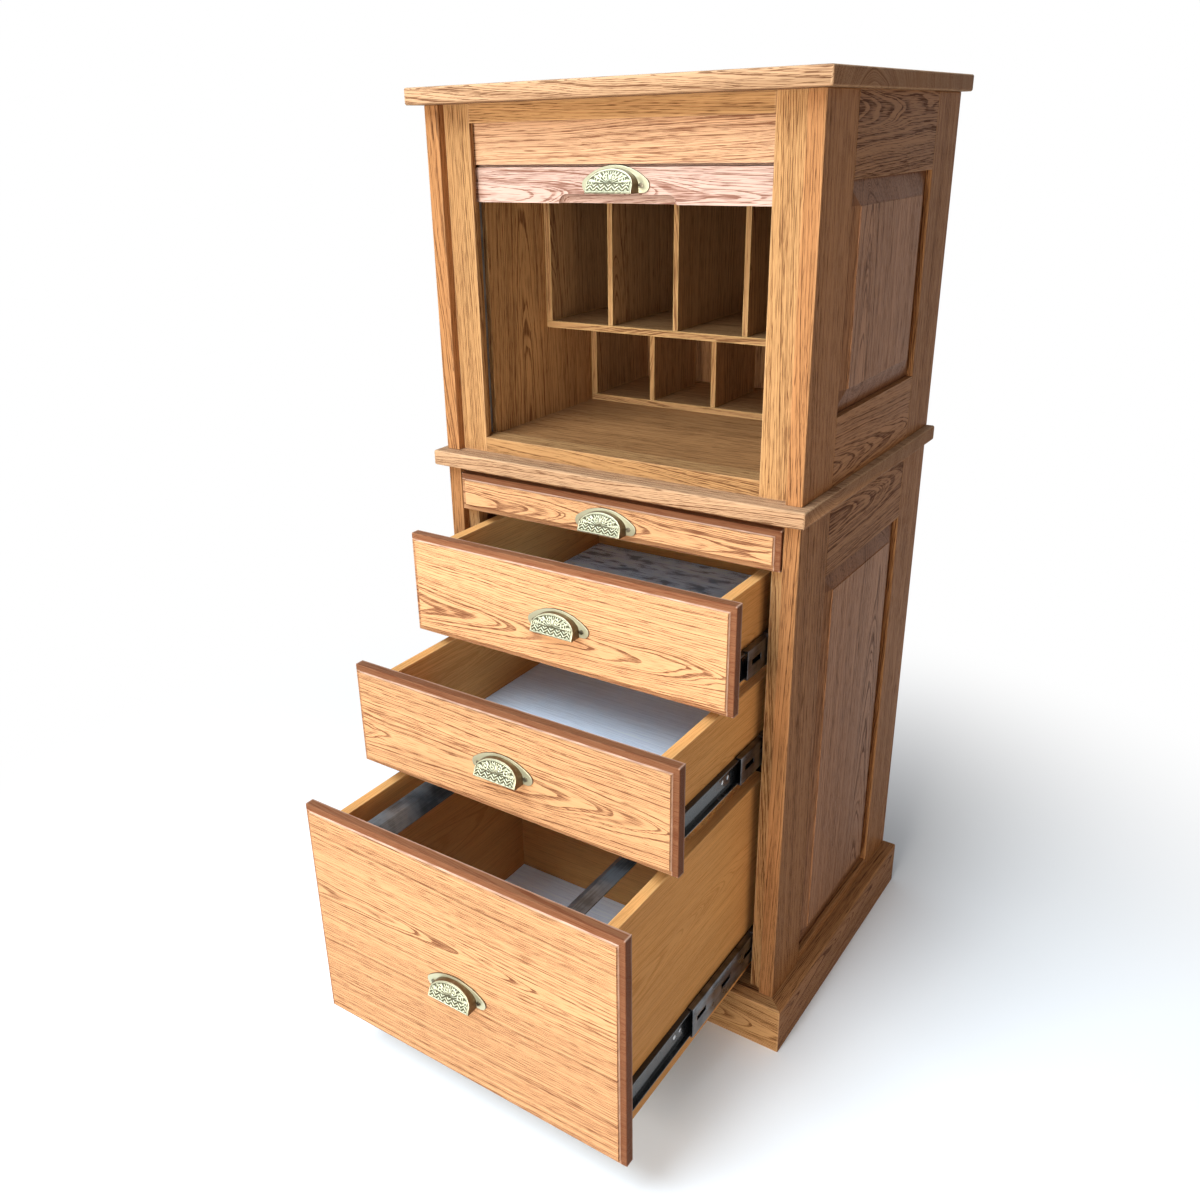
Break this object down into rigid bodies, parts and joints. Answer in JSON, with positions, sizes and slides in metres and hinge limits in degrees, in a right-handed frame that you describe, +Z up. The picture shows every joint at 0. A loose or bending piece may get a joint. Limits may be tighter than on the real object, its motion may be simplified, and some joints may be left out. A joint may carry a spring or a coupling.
{
  "type": "roll-top secretary cabinet",
  "caption": "Tall oak roll-top secretary with tambour opening over pigeonholes, pencil drawer, box drawers and a file drawer on ball-bearing slides.",
  "frame": {"origin": "on the floor, in the middle of the rear plane", "axes": "+X to the right seen from the front, +Y towards the rear, +Z up"},
  "size_m": [0.605, 0.8633, 1.3215],
  "materials": {
    "case_oak": "satin",
    "front_oak": "satin",
    "tambour_oak": "satin",
    "box_wood": "satin",
    "bottom_panel": "matte",
    "inner_wood": "matte",
    "canvas": "woven",
    "track_strip": "satin",
    "zinc_steel": "satin",
    "black_steel": "gloss",
    "pull_brass": "aged"
  },
  "bodies": {
    "cabinet": {"crown_top": "case_oak", "upper_side_stiles": "case_oak", "upper_side_rails": "case_oak", "upper_side_panels": "case_oak", "upper_face_stiles": "case_oak", "upper_face_rail": "case_oak", "fascia_board": "case_oak", "sill_rail": "case_oak", "desk_floor": "case_oak", "upper_back": "inner_wood", "track_liners": "case_oak", "track_strips": "track_strip", "liner_cleats": "inner_wood", "upper_shelf_case": "case_oak", "upper_dividers": "case_oak", "lower_shelf_case": "case_oak", "lower_dividers": "case_oak", "tambour_slats_stored": "tambour_oak", "tambour_canvas": "canvas", "base_top": "case_oak", "base_side_stiles": "case_oak", "base_side_rails": "case_oak", "base_side_panels": "case_oak", "base_face_stiles": "case_oak", "base_face_rails": "case_oak", "base_bottom": "inner_wood", "base_back": "inner_wood", "plinth_front": "case_oak", "plinth_sides": "case_oak", "slide_cleats": "inner_wood", "slide_cabinet_members": "zinc_steel", "pencil_runners": "inner_wood"},
    "tambour": {"lift_rail": "case_oak", "lift_rail_pull": "pull_brass", "tambour_curtain_front": "tambour_oak"},
    "pencil_drawer": {"pencil_front": "front_oak", "pencil_box": "box_wood", "pencil_bottom": "bottom_panel", "pencil_pull": "pull_brass"},
    "drawer_1": {"drawer_1_front": "front_oak", "drawer_1_box": "box_wood", "drawer_1_bottom": "bottom_panel", "drawer_1_slide_members": "black_steel", "drawer_1_pull": "pull_brass"},
    "drawer_1_middle": {"drawer_1_middle_members": "zinc_steel"},
    "drawer_2": {"drawer_2_front": "front_oak", "drawer_2_box": "box_wood", "drawer_2_bottom": "bottom_panel", "drawer_2_slide_members": "black_steel", "drawer_2_pull": "pull_brass"},
    "drawer_2_middle": {"drawer_2_middle_members": "zinc_steel"},
    "drawer_3": {"drawer_3_front": "front_oak", "drawer_3_box": "box_wood", "drawer_3_bottom": "bottom_panel", "drawer_3_slide_members": "black_steel", "drawer_3_pull": "pull_brass", "file_hanging_rails": "black_steel"},
    "drawer_3_middle": {"drawer_3_middle_members": "zinc_steel"}
  },
  "joints": [
    {"name": "tambour_lift", "type": "slide", "parent": "cabinet", "child": "tambour", "axis": [0, 0, -1], "range_m": [0, 0.3195], "deforming": ["tambour_curtain_front"]},
    {"name": "pencil_slide", "type": "slide", "parent": "cabinet", "child": "pencil_drawer", "axis": [0, -1, 0], "range_m": [0, 0.3]},
    {"name": "drawer_1_slide", "type": "slide", "parent": "cabinet", "child": "drawer_1", "axis": [0, -1, 0], "range_m": [-0.117, 0.283]},
    {"name": "drawer_1_middle_slide", "type": "slide", "parent": "cabinet", "child": "drawer_1_middle", "axis": [0, -1, 0], "range_m": [-0.0585, 0.1415]},
    {"name": "drawer_2_slide", "type": "slide", "parent": "cabinet", "child": "drawer_2", "axis": [0, -1, 0], "range_m": [-0.25, 0.15]},
    {"name": "drawer_2_middle_slide", "type": "slide", "parent": "cabinet", "child": "drawer_2_middle", "axis": [0, -1, 0], "range_m": [-0.125, 0.075]},
    {"name": "drawer_3_slide", "type": "slide", "parent": "cabinet", "child": "drawer_3", "axis": [0, -1, 0], "range_m": [-0.369, 0.031]},
    {"name": "drawer_3_middle_slide", "type": "slide", "parent": "cabinet", "child": "drawer_3_middle", "axis": [0, -1, 0], "range_m": [-0.1845, 0.0155]}
  ],
  "couplings": [
    {"joint": "drawer_1_middle_slide", "follows": "drawer_1_slide", "ratio": 0.5},
    {"joint": "drawer_2_middle_slide", "follows": "drawer_2_slide", "ratio": 0.5},
    {"joint": "drawer_3_middle_slide", "follows": "drawer_3_slide", "ratio": 0.5}
  ]
}
